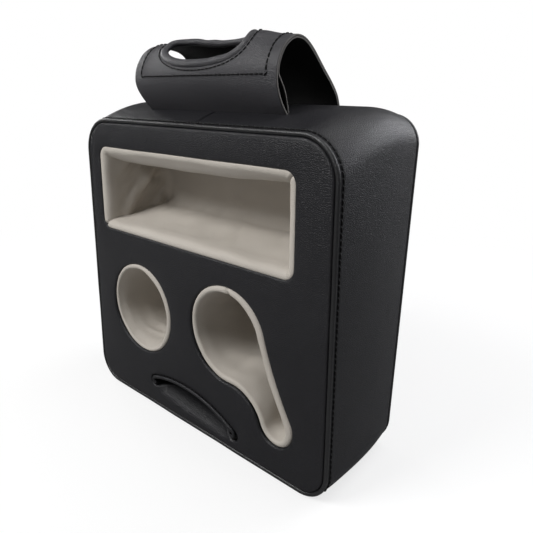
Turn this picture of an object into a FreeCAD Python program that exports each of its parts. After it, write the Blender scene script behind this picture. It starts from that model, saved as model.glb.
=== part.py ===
"""Car cup holder block: a foam core in a sewn leather cover, standing on its base.

The front carries a wide tray, a round cup pocket, a keyhole pocket for a mug and its handle, and an
arched slit with a flat bag behind it. A soft leather tunnel with an oval hole is sewn on the top.
Frame: +X to the right of the front, +Y from the front to the back, +Z up, the origin in the middle
of the base. Sizes are in millimetres.
"""
import FreeCAD
import Part
import Sketcher
import math
import os

V = FreeCAD.Vector

# Driving sizes: name, value, what it sets
SIZES = (
    ("cup_margin", 32.1, "leather from the left edge to the cup mouth"),
    ("pocket_gap", 28.5, "leather between the cup mouth and the mug mouth"),
    ("tail_margin", 34, "leather from the mug's tail to the right edge"),
    ("tray_left", 21.5, "leather left of the tray"),
    ("tray_right", 36, "leather right of the tray"),
    ("row_gap", 21.5, "leather between the mug mouth and the tray"),
    ("top_margin", 27.5, "leather between the tray and the front's top edge"),
    ("base_depth", 98, "depth of the block at its base"),
    ("top_depth", 117, "depth of the block at the front's top edge"),
    ("rear_step", 9, "height of the rear edge above the front edge"),
    ("crown", 15, "height of the crest of the top above the front edge"),
    ("crest_back", 66, "distance of the crest behind the front face"),
    ("side_crown", 2, "bulge of each side at the crest"),
    ("top_corner", 33, "corner radius at the top of the front"),
    ("rear_corner", 25, "corner radius at the top of the back"),
    ("base_corner", 27, "corner radius at the base of the front"),
    ("skin", 1.5, "leather of the cover with its backing"),
    ("piping_bead", 4.6, "diameter of the piping"),
    ("base_trim", 0.4, "leather pressed flat under the base"),
    ("seam_shift", 7, "joint of the band, right of the middle"),
    ("seam_gap", 0.5, "groove where the ends of the band meet"),
    ("liner", 1.2, "lining of the pockets"),
    ("tray_height", 81, "height of the tray's mouth"),
    ("tray_corner", 10, "corner radius of the tray's mouth"),
    ("tray_roll", 8, "roll of the tray's mouth"),
    ("tray_depth", 76, "depth of the tray"),
    ("cup_rise", 100.3, "height of the cup's axis"),
    ("cup_mouth", 44.7, "radius of the cup's mouth in the front panel"),
    ("cup_roll", 7, "roll of the cup's mouth"),
    ("cup_depth", 80, "depth of the cup pocket"),
    ("mug_rise", 109, "height of the mug bowl's axis"),
    ("mug_mouth", 44, "radius of the mug bowl in the front panel"),
    ("tail_mouth", 18, "radius of the tail's end in the front panel"),
    ("tail_shift", 54, "tail's end, right of the bowl's axis"),
    ("tail_drop", 61, "tail's end, below the bowl's axis"),
    ("neck_hollow", 35, "radius of the neck's lower edge"),
    ("neck_flank", 300, "radius of the neck's right edge"),
    ("mug_roll", 7, "roll of the mug's mouth"),
    ("mug_depth", 80, "depth of the mug pocket"),
    ("slit_shift", -13.5, "centre of the slit's arc, right of the block's middle"),
    ("slit_rise", 41, "height of the crest of the slit's arc"),
    ("slit_radius", 135, "radius of the slit's upper edge"),
    ("slit_span", 108, "distance between the slit's ends"),
    ("slit_tilt", 5.6, "fall of the slit to the right, in degrees"),
    ("slit_gap", 8, "height of the slit below its lip"),
    ("slit_depth", 60, "depth of the bag behind the slit"),
    ("lip_width", 3.6, "width of the slit's lip"),
    ("lip_proud", 1.4, "height of the lip over the front panel"),
    ("lip_round", 1.2, "rounding of the lip's front edges"),
    ("sleeve_length", 168, "length of the tunnel"),
    ("sleeve_radius", 31, "radius of the tunnel's front bend"),
    ("sleeve_front", 13, "tunnel's foremost line behind the front face"),
    ("sleeve_rear", 101, "tunnel's rear foot behind the front face"),
    ("sleeve_rise", 53.5, "height of the tunnel over the crest of the top"),
    ("sleeve_ply", 1.5, "outer leather of the tunnel"),
    ("lining_ply", 1.2, "lining of the tunnel"),
    ("ply_gap", 0.1, "clearance between two plies"),
    ("front_wrap", 60, "end of the front bend below its axis, in degrees"),
    ("sewn_line", 8, "sewn line of the plies below the bend's axis, in degrees"),
    ("foot_tuck", 16, "plies' spare length, trimmed where they meet the top"),
    ("hole_length", 96, "length of the oval hole"),
    ("hole_width", 41, "width of the oval hole"),
    ("hole_shift", -2, "middle of the hole, right of the block's middle"),
    ("hole_lean", 31, "hole's lean to the front, in degrees"),
    ("binding_width", 4.6, "width of the hole's binding"),
    ("binding_ply", 1.2, "leather of the binding"),
)

doc = FreeCAD.newDocument("car_cup_holder")
sheet = doc.addObject("Spreadsheet::Sheet", "sizes")
for row, (alias, value, note) in enumerate(SIZES, start=1):
    sheet.set(f"A{row}", note)
    sheet.set(f"B{row}", str(value))
    sheet.setAlias(f"B{row}", alias)
doc.recompute()

# Places that follow from the driving sizes
WIDTH = ("(sizes.cup_margin + 2 * sizes.cup_mouth + sizes.pocket_gap + sizes.mug_mouth"
         " + sizes.tail_shift + sizes.tail_mouth + sizes.tail_margin)")
TRAY_BASE = "(sizes.mug_rise + sizes.mug_mouth + sizes.row_gap)"
FRONT_HEIGHT = f"({TRAY_BASE} + sizes.tray_height + sizes.top_margin)"
LEAN = f"atan((sizes.top_depth - sizes.base_depth) / {FRONT_HEIGHT})"
REAR_HEIGHT = f"(({FRONT_HEIGHT} + sizes.rear_step) / cos({LEAN}))"
CREST_HEIGHT = f"({FRONT_HEIGHT} + sizes.crown)"
CREST_CORNER = "(sizes.top_corner + sizes.rear_corner) / 2"
TRAY_LENGTH = f"({WIDTH} - sizes.tray_left - sizes.tray_right)"
TRAY_X = "((sizes.tray_left - sizes.tray_right) / 2)"
TRAY_Z = f"({TRAY_BASE} + sizes.tray_height / 2)"
CUP_X = f"(sizes.cup_margin + sizes.cup_mouth - {WIDTH} / 2)"
MUG_X = f"({CUP_X} + sizes.cup_mouth + sizes.pocket_gap + sizes.mug_mouth)"
SLEEVE_Y = "(sizes.sleeve_front + sizes.sleeve_radius - sizes.base_depth / 2)"
SLEEVE_Z = f"({CREST_HEIGHT} + sizes.sleeve_rise - sizes.sleeve_radius)"
REAR_FOOT_Y = "(sizes.sleeve_rear - sizes.base_depth / 2)"
REACH = "(2 * (sizes.sleeve_radius + sizes.binding_ply))"
LINING_RADIUS = "(sizes.sleeve_radius - sizes.sleeve_ply - sizes.ply_gap)"
LINING_INSIDE = f"({LINING_RADIUS} - sizes.lining_ply)"

# Half the length of a cutting tool that reaches past the block, and the slack of a comparison
PAST = "(2 * sizes.top_depth)"
SLACK = 1e-6


def number(expression):
    """The value of an expression of the sheet's sizes."""
    value = sheet.evalExpression(str(expression))
    return float(getattr(value, "Value", value))


def new_body(label):
    body = doc.addObject("PartDesign::Body", label)
    body.Label = label
    return body


def origin_plane(body, role):
    for feature in body.Origin.OriginFeatures:
        if feature.Role == role:
            return feature


def sketch_on(body, name, role, base, axis=V(0, 0, 1), angle=None):
    """A sketch on an origin plane, moved by three expressions and turned about an axis."""
    sketch = body.newObject("Sketcher::SketchObject", name)
    sketch.AttachmentSupport = [(origin_plane(body, role), "")]
    sketch.MapMode = "FlatFace"
    place = FreeCAD.Placement()
    if angle:
        place.Rotation = FreeCAD.Rotation(axis, number(angle))
    sketch.AttachmentOffset = place
    for letter, expression in zip("xyz", base):
        sketch.setExpression(f"AttachmentOffset.Base.{letter}", expression)
    if angle:
        sketch.setExpression("AttachmentOffset.Rotation.Angle", angle)
    return sketch


def front_sketch(body, name, back="0", x="0", z="0", angle=None):
    """A sketch parallel to the front face, some way behind it, facing the front."""
    base = (x, z, f"sizes.base_depth / 2 - ({back})")
    return sketch_on(body, name, "XZ_Plane", base, V(0, 0, 1), angle)


def rear_sketch(body, name, inward="0"):
    """A sketch parallel to the leaning back, some way inside it, facing the front."""
    base = ("0", "0", f"({inward}) / cos({LEAN}) - sizes.base_depth / 2")
    return sketch_on(body, name, "XZ_Plane", base, V(-1, 0, 0), LEAN)


def bind(sketch, kind, *where, to):
    """A dimension of the sketch, held by an expression."""
    index = sketch.addConstraint(Sketcher.Constraint(kind, *where, number(to)))
    sketch.setExpression(f"Constraints[{index}]", str(to))


def tangent_chain(sketch, joints):
    for joint in joints:
        sketch.addConstraint(Sketcher.Constraint("Tangent", *joint))


def arc(centre, radius, start, end):
    circle = Part.Circle(centre, V(0, 0, 1), radius)
    return Part.ArcOfCircle(circle, start, end)


def line(start, end):
    return Part.LineSegment(start, end)


def rounded_outline(sketch, wide, high, base, top_radius, base_radius):
    """A rectangle with rounded corners, even about the sketch's upright axis."""
    half, low = number(wide) / 2, number(base)
    top, r_top, r_low = low + number(high), number(top_radius), number(base_radius)
    quarter = math.pi / 2
    first = sketch.GeometryCount
    sketch.addGeometry([
        line(V(r_low - half, low), V(half - r_low, low)),
        arc(V(half - r_low, low + r_low), r_low, -quarter, 0),
        line(V(half, low + r_low), V(half, top - r_top)),
        arc(V(half - r_top, top - r_top), r_top, 0, quarter),
        line(V(half - r_top, top), V(r_top - half, top)),
        arc(V(r_top - half, top - r_top), r_top, quarter, 2 * quarter),
        line(V(-half, top - r_top), V(-half, low + r_low)),
        arc(V(r_low - half, low + r_low), r_low, 2 * quarter, 3 * quarter),
    ])
    foot, foot_right, right, top_right, head, top_left, left, foot_left = range(first, first + 8)
    edges = (foot, foot_right, right, top_right, head, top_left, left, foot_left)
    tangent_chain(sketch, [(a, 2, b, 1) for a, b in zip(edges, edges[1:] + edges[:1])])
    sketch.addConstraint(Sketcher.Constraint("Horizontal", head))
    sketch.addConstraint(Sketcher.Constraint("Vertical", right))
    sketch.addConstraint(Sketcher.Constraint("Vertical", left))
    sketch.addConstraint(Sketcher.Constraint("Equal", foot_right, foot_left))
    sketch.addConstraint(Sketcher.Constraint("Equal", top_right, top_left))
    sketch.addConstraint(Sketcher.Constraint("Symmetric", foot, 1, foot, 2, -2))
    bind(sketch, "DistanceY", -1, 1, foot, 1, to=base)
    bind(sketch, "DistanceY", foot, 1, head, 1, to=high)
    bind(sketch, "DistanceX", left, 1, right, 1, to=wide)
    bind(sketch, "Radius", foot_right, to=base_radius)
    bind(sketch, "Radius", top_right, to=top_radius)


def block_outline(sketch, wide, high, corner, inset, trim="0"):
    """The outline of the block at one section, moved inwards all round."""
    rounded_outline(sketch, f"{wide} - 2 * ({inset})", f"{high} + {trim} - 2 * ({inset})",
                    f"({inset}) - {trim}", f"{corner} - ({inset})", f"sizes.base_corner - ({inset})")


def front_outline(sketch, inset, trim="0"):
    block_outline(sketch, WIDTH, FRONT_HEIGHT, "sizes.top_corner", inset, trim)


def rear_outline(sketch, inset, trim="0"):
    block_outline(sketch, WIDTH, REAR_HEIGHT, "sizes.rear_corner", inset, trim)


def tray_outline(sketch, inset):
    corner = f"sizes.tray_corner - ({inset})"
    rounded_outline(sketch, f"{TRAY_LENGTH} - 2 * ({inset})", f"sizes.tray_height - 2 * ({inset})",
                    f"({inset}) - sizes.tray_height / 2", corner, corner)


def circle_outline(sketch, radius):
    index = sketch.addGeometry(Part.Circle(V(0, 0), V(0, 0, 1), number(radius)))
    sketch.addConstraint(Sketcher.Constraint("Coincident", index, 3, -1, 1))
    bind(sketch, "Radius", index, to=radius)


def neck_centre(bowl, lobe, bowl_reach, lobe_reach, side):
    """The point at given distances from the bowl's and the lobe's centres, on one side of them."""
    along = lobe - bowl
    span = along.Length
    run = (bowl_reach ** 2 + span ** 2 - lobe_reach ** 2) / (2 * span)
    off = math.sqrt(bowl_reach ** 2 - run ** 2)
    unit = along / span
    return bowl + unit * run + V(unit.y, -unit.x) * off * side


def angle_to(centre, point):
    return math.atan2(point.y - centre.y, point.x - centre.x)


def keyhole_outline(sketch, inset):
    """A bowl and a small lobe joined by two hollow arcs, all moved inwards."""
    bowl_radius, lobe_radius = f"sizes.mug_mouth - ({inset})", f"sizes.tail_mouth - ({inset})"
    hollow_radius, flank_radius = f"sizes.neck_hollow + ({inset})", f"sizes.neck_flank + ({inset})"
    bowl, lobe = V(0, 0), V(number("sizes.tail_shift"), -number("sizes.tail_drop"))
    r_bowl, r_lobe = number(bowl_radius), number(lobe_radius)
    r_hollow, r_flank = number(hollow_radius), number(flank_radius)
    hollow = neck_centre(bowl, lobe, r_bowl + r_hollow, r_lobe + r_hollow, 1)
    flank = neck_centre(bowl, lobe, r_bowl + r_flank, r_lobe + r_flank, -1)
    full = 2 * math.pi
    first = sketch.GeometryCount
    sketch.addGeometry([
        arc(bowl, r_bowl, angle_to(bowl, flank), angle_to(bowl, hollow) % full),
        arc(hollow, r_hollow, angle_to(hollow, lobe), angle_to(hollow, bowl)),
        arc(lobe, r_lobe, angle_to(lobe, hollow) % full, angle_to(lobe, flank) + full),
        arc(flank, r_flank, angle_to(flank, bowl) % full, angle_to(flank, lobe) % full),
    ])
    tangent_chain(sketch, [
        (first, 2, first + 1, 2), (first + 1, 1, first + 2, 1),
        (first + 2, 2, first + 3, 2), (first + 3, 1, first, 1),
    ])
    sketch.addConstraint(Sketcher.Constraint("Coincident", first, 3, -1, 1))
    bind(sketch, "DistanceX", -1, 1, first + 2, 3, to="sizes.tail_shift")
    bind(sketch, "DistanceY", first + 2, 3, -1, 1, to="sizes.tail_drop")
    radii = (bowl_radius, hollow_radius, lobe_radius, flank_radius)
    for index, radius in enumerate(radii, start=first):
        bind(sketch, "Radius", index, to=radius)


def slit_outline(sketch, upper, lower):
    """A slot of even height along an arc about the sketch's origin, with round ends."""
    r_upper, r_lower = number(upper), number(lower)
    r_middle, r_end = (r_upper + r_lower) / 2, (r_upper - r_lower) / 2
    half = math.asin(number("sizes.slit_span") / 2 / r_middle)
    right, left = math.pi / 2 - half, math.pi / 2 + half
    end_right = V(r_middle * math.cos(right), r_middle * math.sin(right))
    end_left = V(r_middle * math.cos(left), r_middle * math.sin(left))
    first = sketch.GeometryCount
    sketch.addGeometry([
        arc(V(0, 0), r_upper, right, left),
        arc(end_left, r_end, left, left + math.pi),
        arc(V(0, 0), r_lower, right, left),
        arc(end_right, r_end, right - math.pi, right),
    ])
    tangent_chain(sketch, [
        (first, 2, first + 1, 1), (first + 1, 2, first + 2, 2),
        (first + 2, 1, first + 3, 1), (first + 3, 2, first, 1),
    ])
    sketch.addConstraint(Sketcher.Constraint("Coincident", first, 3, -1, 1))
    sketch.addConstraint(Sketcher.Constraint("Coincident", first + 2, 3, -1, 1))
    sketch.addConstraint(Sketcher.Constraint("Horizontal", first + 1, 3, first + 3, 3))
    bind(sketch, "DistanceX", first + 1, 3, first + 3, 3, to="sizes.slit_span")
    bind(sketch, "Radius", first, to=upper)
    bind(sketch, "Radius", first + 2, to=lower)


def pad(body, sketch, length, to_the_back=True):
    feature = body.newObject("PartDesign::Pad", "pad_" + sketch.Name)
    feature.Profile = sketch
    feature.setExpression("Length", length)
    feature.Reversed = to_the_back
    return feature


def pocket(body, sketch, length):
    """A cut from the sketch towards the back."""
    feature = body.newObject("PartDesign::Pocket", "cut_" + sketch.Name)
    feature.Profile = sketch
    feature.setExpression("Length", length)
    return feature


def round_mouth(body, back, radius):
    """The roll of a pocket's mouth: a fillet on the inner edges of the ring's front face."""
    doc.recompute()
    shape = body.Shape
    front = number(f"({back}) - sizes.base_depth / 2")
    ring = [face for face in shape.Faces if abs(face.BoundBox.YMax - front) < SLACK][0]
    inner = [w for w in ring.Wires if not w.isSame(ring.OuterWire)][0]
    names = [f"Edge{i}" for i, edge in enumerate(shape.Edges, start=1)
             if any(edge.isSame(other) for other in inner.Edges)]
    ring_and_wall = body.Tip
    fillet = body.newObject("PartDesign::Fillet", "roll_" + body.Name)
    fillet.Base = (ring_and_wall, names)
    fillet.setExpression("Radius", radius)
    body.Tip = fillet


def loft_sections(body, prefix, inset, first_inset):
    """Front, crest and rear sections of the block, moved inwards by the inset."""
    trim = "sizes.base_trim"
    front = front_sketch(body, prefix + "_front", first_inset)
    front_outline(front, inset, trim)
    crest = front_sketch(body, prefix + "_crest", "sizes.crest_back")
    block_outline(crest, f"{WIDTH} + 2 * sizes.side_crown", CREST_HEIGHT, CREST_CORNER, inset, trim)
    rear = rear_sketch(body, prefix + "_rear", first_inset)
    rear_outline(rear, inset, trim)
    return front, [crest, rear]


def block_loft(body, prefix, inset, kind="PartDesign::AdditiveLoft"):
    """The crowned block between the two rows of piping."""
    front, others = loft_sections(body, prefix, inset, "sizes.piping_bead")
    loft = body.newObject(kind, prefix)
    loft.Profile = front
    loft.Sections = others
    return loft


def flat_base(body):
    """A cut that leaves the base in one plane."""
    sketch = sketch_on(body, "base_plane_" + body.Name, "XY_Plane", ("0", "0", "0"))
    rounded_outline(sketch, f"2 * {WIDTH}", f"2 * {PAST}", f"-{PAST}",
                    "sizes.base_corner", "sizes.base_corner")
    pocket(body, sketch, "2 * sizes.base_trim")


def slit_sketch(body, name, back, upper, lower):
    centre = ("sizes.slit_shift", "sizes.slit_rise - sizes.slit_radius")
    sketch = front_sketch(body, name, back, *centre, angle="-sizes.slit_tilt")
    slit_outline(sketch, upper, lower)
    return sketch


SLIT_UPPER = "sizes.slit_radius"
SLIT_CLEAR = "sizes.slit_radius - sizes.lip_width"
SLIT_LOWER = "sizes.slit_radius - sizes.lip_width - sizes.slit_gap"


def front_panel(pockets):
    """The flat leather face, cut out for the lined pockets and the slit."""
    body = new_body("front_panel")
    face = front_sketch(body, "face")
    front_outline(face, "sizes.piping_bead")
    pad(body, face, "sizes.skin")
    for draw, x, z, roll, depth in pockets:
        mouth = front_sketch(body, "panel_mouth", "0", x, z)
        draw(mouth, "0")
        pocket(body, mouth, "sizes.skin")
    pocket(body, slit_sketch(body, "slit", "0", SLIT_UPPER, SLIT_LOWER), "sizes.skin")
    return body


def side_band():
    """The boxing strip round the block; its two ends meet in a narrow groove on the top."""
    body = new_body("band_ring")
    block_loft(body, "band_outside", "0")
    block_loft(body, "band_inside", "sizes.skin", "PartDesign::SubtractiveLoft")
    flat_base(body)
    groove = doc.addObject("Part::Box", "band_groove")
    groove.setExpression("Length", "sizes.seam_gap")
    groove.setExpression("Width", f"2 * {PAST}")
    groove.setExpression("Height", CREST_HEIGHT)
    groove.setExpression("Placement.Base.x", "sizes.seam_shift - sizes.seam_gap / 2")
    groove.setExpression("Placement.Base.y", f"-{PAST}")
    groove.setExpression("Placement.Base.z", f"{FRONT_HEIGHT} / 2")
    return cut("side_band", body, groove)


def back_panel():
    body = new_body("back_panel")
    face = rear_sketch(body, "back_face")
    rear_outline(face, "sizes.piping_bead")
    pad(body, face, "sizes.skin", to_the_back=False)
    return body


def piping(label, spine, centre):
    """A bead swept round an outline; the circle stands where the base line starts."""
    body = spine.getParentGeoFeatureGroup()
    start = f"sizes.base_corner - {WIDTH} / 2"
    profile = sketch_on(body, label + "_section", "YZ_Plane", (*centre, start))
    circle_outline(profile, "sizes.piping_bead / 2")
    bead = body.newObject("PartDesign::AdditivePipe", label + "_bead")
    bead.Profile = profile
    bead.Spine = (spine, [f"Edge{i}" for i in range(1, 9)])
    return body


def front_piping():
    body = new_body("front_piping")
    half = "sizes.piping_bead / 2"
    spine = front_sketch(body, "front_seam", half)
    front_outline(spine, half)
    return piping("front_piping", spine, (f"{half} - sizes.base_depth / 2", half))


def rear_piping():
    body = new_body("rear_piping")
    half = "sizes.piping_bead / 2"
    spine = rear_sketch(body, "rear_seam", half)
    rear_outline(spine, half)
    centre_y = f"sizes.base_depth / 2 - {half} / cos({LEAN}) + {half} * sin({LEAN})"
    return piping("rear_piping", spine, (centre_y, f"{half} * cos({LEAN})"))


def ring_wall(label, draw, x, z, roll, depth):
    """A pocket's lining: a rolled ring in the mouth, and a thin wall behind it."""
    body = new_body(label)
    mouth = front_sketch(body, label + "_roll", "0", x, z)
    draw(mouth, "0")
    draw(mouth, roll)
    pad(body, mouth, roll)
    wall = front_sketch(body, label + "_tube", roll, x, z)
    draw(wall, f"{roll} - sizes.liner")
    draw(wall, roll)
    pad(body, wall, f"{depth} - {roll}")
    round_mouth(body, "0", f"{roll} - sizes.liner / 2")
    return body


def pocket_floor(label, draw, x, z, roll, depth):
    body = new_body(label)
    sketch = front_sketch(body, label + "_face", depth, x, z)
    draw(sketch, f"{roll} - sizes.liner")
    pad(body, sketch, "sizes.liner")
    return body


def cup_outline(sketch, inset):
    circle_outline(sketch, f"sizes.cup_mouth - ({inset})")


def slit_lip():
    """A rounded bead along the slit's upper edge, proud of the panel."""
    body = new_body("slit_lip")
    sketch = slit_sketch(body, "lip_bead", "-sizes.lip_proud", SLIT_UPPER, SLIT_CLEAR)
    pad(body, sketch, "sizes.lip_proud + sizes.skin")
    doc.recompute()
    front = number("-sizes.lip_proud - sizes.base_depth / 2")
    names = [f"Edge{i}" for i, edge in enumerate(body.Shape.Edges, start=1)
             if edge.BoundBox.YMax < front + SLACK]
    bead = body.Tip
    fillet = body.newObject("PartDesign::Fillet", "lip_round")
    fillet.Base = (bead, names)
    fillet.setExpression("Radius", "sizes.lip_round")
    body.Tip = fillet
    return body


def slit_pocket():
    """A flat bag behind the slit, closed at its far end."""
    body = new_body("slit_pocket")
    outside = slit_sketch(body, "bag", "sizes.skin", SLIT_CLEAR + " + sizes.liner",
                          SLIT_LOWER + " - sizes.liner")
    pad(body, outside, "sizes.slit_depth - sizes.skin")
    inside = slit_sketch(body, "bag_room", "sizes.skin", SLIT_CLEAR, SLIT_LOWER)
    pocket(body, inside, "sizes.slit_depth - sizes.skin - sizes.liner")
    return body


def foam_core(pockets):
    """The foam block, cut out for the pockets and the bag, and stepped for the rolled mouths."""
    body = new_body("foam_core")
    block_loft(body, "core", "sizes.skin")
    tenon = "sizes.piping_bead - sizes.skin"
    inset = "sizes.piping_bead + sizes.ply_gap"
    front = front_sketch(body, "core_front", "sizes.skin")
    front_outline(front, inset)
    pad(body, front, tenon)
    rear = rear_sketch(body, "core_rear", "sizes.skin")
    rear_outline(rear, inset)
    pad(body, rear, tenon, to_the_back=False)
    for draw, x, z, roll, depth in pockets:
        mouth = front_sketch(body, "core_mouth", "sizes.skin", x, z)
        draw(mouth, "0")
        pocket(body, mouth, f"{roll} - sizes.skin")
        room = front_sketch(body, "core_room", "sizes.skin", x, z)
        draw(room, f"{roll} - sizes.liner")
        pocket(body, room, f"{depth} + sizes.liner - sizes.skin")
    bag = slit_sketch(body, "core_slit", "sizes.skin", SLIT_CLEAR + " + sizes.liner",
                      SLIT_LOWER + " - sizes.liner")
    pocket(body, bag, "sizes.slit_depth - sizes.skin")
    return body


def cut(label, base, tool):
    result = doc.addObject("Part::Cut", label)
    result.Base = base
    result.Tool = tool
    return result


def common(label, base, tool):
    result = doc.addObject("Part::Common", label)
    result.Base = base
    result.Tool = tool
    return result


def block_envelope():
    """The outside of the block, which trims what stands on the top."""
    body = new_body("envelope")
    block_loft(body, "envelope_loft", "0")
    return body


def ply_section(label, outside, inside, chord=False):
    """The section of one ply of the tunnel, a face in the YZ plane.

    The ply bends round the tunnel's axis and runs straight down at the front and at the rear. With a
    chord it leaves the bend at the sewn line and goes straight to the front foot.
    """
    centre = V(0, number(SLEEVE_Y), number(SLEEVE_Z))
    radius = number("sizes.sleeve_radius")
    tuck = number("sizes.foot_tuck")
    reach = V(0, number(REAR_FOOT_Y), number(CREST_HEIGHT)) - centre
    rear = math.atan2(reach.z, reach.y) + math.acos(radius / reach.Length)
    front = math.pi + math.radians(number("sizes.front_wrap"))
    turn = math.pi + math.radians(number("sizes.sewn_line")) if chord else front
    rear_length = math.sqrt(reach.Length ** 2 - radius ** 2) + tuck
    rear_run = V(0, math.sin(rear), -math.cos(rear)) * rear_length
    front_run = V(0, -math.sin(front), math.cos(front)) * tuck

    def on_bend(radius, angle):
        return centre + V(0, math.cos(angle), math.sin(angle)) * radius

    def side(radius):
        """Rear run, bend, chord and front run of one side of the ply, with its two ends."""
        start, end = on_bend(radius, rear) + rear_run, on_bend(radius, front) + front_run
        bend = Part.Arc(on_bend(radius, rear), on_bend(radius, (rear + turn) / 2), on_bend(radius, turn))
        edges = [Part.LineSegment(start, on_bend(radius, rear)), bend]
        if chord:
            edges.append(Part.LineSegment(on_bend(radius, turn), on_bend(radius, front)))
        edges.append(Part.LineSegment(on_bend(radius, front), end))
        return start, end, [edge.toShape() for edge in edges]

    out_start, out_end, out_edges = side(number(outside))
    in_start, in_end, in_edges = side(number(inside))
    ends = [Part.LineSegment(out_start, in_start).toShape(), Part.LineSegment(out_end, in_end).toShape()]
    section = doc.addObject("Part::Feature", label + "_section")
    section.Shape = Part.Face(Part.Wire(Part.__sortEdges__(out_edges + in_edges + ends)))
    return section


def extrude(label, base, direction, length, even=False):
    solid = doc.addObject("Part::Extrusion", label)
    solid.Base = base
    solid.DirMode = "Custom"
    solid.Dir = direction
    solid.Solid = True
    solid.Symmetric = even
    solid.setExpression("LengthFwd", length)
    return solid


def oval_prism(name, growth):
    """A prism of the oval hole, grown all round, from the tunnel's axis out through its front bend."""
    oval = doc.addObject("Part::Ellipse", name + "_oval")
    oval.setExpression("MajorRadius", f"sizes.hole_length / 2 + {growth}")
    oval.setExpression("MinorRadius", f"sizes.hole_width / 2 + {growth}")
    lean = number("sizes.hole_lean")
    oval.Placement = FreeCAD.Placement(V(), FreeCAD.Rotation(V(1, 0, 0), lean))
    oval.setExpression("Placement.Rotation.Angle", "sizes.hole_lean")
    oval.setExpression("Placement.Base.x", "sizes.hole_shift")
    oval.setExpression("Placement.Base.y", SLEEVE_Y)
    oval.setExpression("Placement.Base.z", SLEEVE_Z)
    outward = V(0, -math.sin(math.radians(lean)), math.cos(math.radians(lean)))
    return extrude(name, oval, outward, REACH)


def bend_tube(name, outside, inside):
    """A tube about the tunnel's axis, as long as the tunnel."""
    cylinders = []
    for part, radius in (("outside", outside), ("inside", inside)):
        cylinder = doc.addObject("Part::Cylinder", f"{name}_{part}")
        cylinder.setExpression("Radius", radius)
        cylinder.setExpression("Height", "sizes.sleeve_length")
        cylinder.Placement = FreeCAD.Placement(V(), FreeCAD.Rotation(V(0, 1, 0), 90))
        cylinder.setExpression("Placement.Base.x", "-sizes.sleeve_length / 2")
        cylinder.setExpression("Placement.Base.y", SLEEVE_Y)
        cylinder.setExpression("Placement.Base.z", SLEEVE_Z)
        cylinders.append(cylinder)
    return cut(name, *cylinders)


def sleeve():
    """The tunnel's two plies, trimmed on the top of the block, and the binding of their oval hole."""
    envelope = block_envelope()
    edge = oval_prism("hole_edge", "sizes.binding_ply")
    plies = []
    for label, outside, inside, chord in (
        ("sleeve_outer", "sizes.sleeve_radius", "sizes.sleeve_radius - sizes.sleeve_ply", False),
        ("sleeve_lining", LINING_RADIUS, LINING_INSIDE, True),
    ):
        section = ply_section(label, outside, inside, chord)
        strip = extrude(label + "_strip", section, V(1, 0, 0), "sizes.sleeve_length", even=True)
        plies.append(cut(label, cut(label + "_trimmed", strip, envelope), edge))
    wrap_outside = "sizes.sleeve_radius + sizes.binding_ply"
    wrap = bend_tube("wrap", wrap_outside, f"{LINING_INSIDE} - sizes.binding_ply")
    ring = cut("binding_ring", oval_prism("binding_edge", "sizes.binding_width"), oval_prism("hole", "0"))
    sewn = cut("sewn_plies", bend_tube("both_plies", "sizes.sleeve_radius", LINING_INSIDE), edge)
    plies.append(cut("hole_binding", common("binding_band", wrap, ring), sewn))
    return plies


# A lined pocket: its outline, the middle of its mouth, its roll and its depth
TRAY = (tray_outline, TRAY_X, TRAY_Z, "sizes.tray_roll", "sizes.tray_depth")
CUP = (cup_outline, CUP_X, "sizes.cup_rise", "sizes.cup_roll", "sizes.cup_depth")
MUG = (keyhole_outline, MUG_X, "sizes.mug_rise", "sizes.mug_roll", "sizes.mug_depth")

pieces = [
    foam_core((TRAY, CUP, MUG)),
    front_panel((TRAY, CUP, MUG)),
    side_band(),
    back_panel(),
    front_piping(),
    rear_piping(),
    ring_wall("tray_wall", *TRAY),
    pocket_floor("tray_floor", *TRAY),
    ring_wall("cup_wall", *CUP),
    pocket_floor("cup_floor", *CUP),
    ring_wall("mug_wall", *MUG),
    pocket_floor("mug_floor", *MUG),
    slit_lip(),
    slit_pocket(),
    *sleeve(),
]
doc.recompute()

for thing in doc.Objects:
    if "Invalid" in thing.State or "Error" in thing.State:
        raise RuntimeError(f"{thing.Label} failed: {thing.State}")
for piece in pieces:
    shape = piece.Shape
    if shape.isNull() or not shape.isValid() or len(shape.Solids) != 1:
        raise RuntimeError(f"{piece.Label} is not one valid solid")

os.makedirs("parts", exist_ok=True)
for piece in pieces:
    piece.Shape.exportStep(f"parts/{piece.Label}.step")
    print(piece.Label, round(piece.Shape.Volume), "mm3")
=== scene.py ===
# %% [markdown]
# # A leather car cup holder
# The object is a block of foam in a sewn leather cover. Its front has a wide tray, a round cup pocket, a
# keyhole pocket for a mug with its handle, and an arched slit; a soft tunnel for tissues is sewn on top.
# The CAD frame gives the places and the sizes. Every soft piece is made again here as thin leather,
# because a plain solid has no slack, no dips at its seams and no stitches. Lengths are in metres.

# %% Load the frame
import math
import bpy
import bmesh
import numpy as np
from mathutils import Matrix, Vector, noise
from mathutils.geometry import delaunay_2d_cdt


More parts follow.
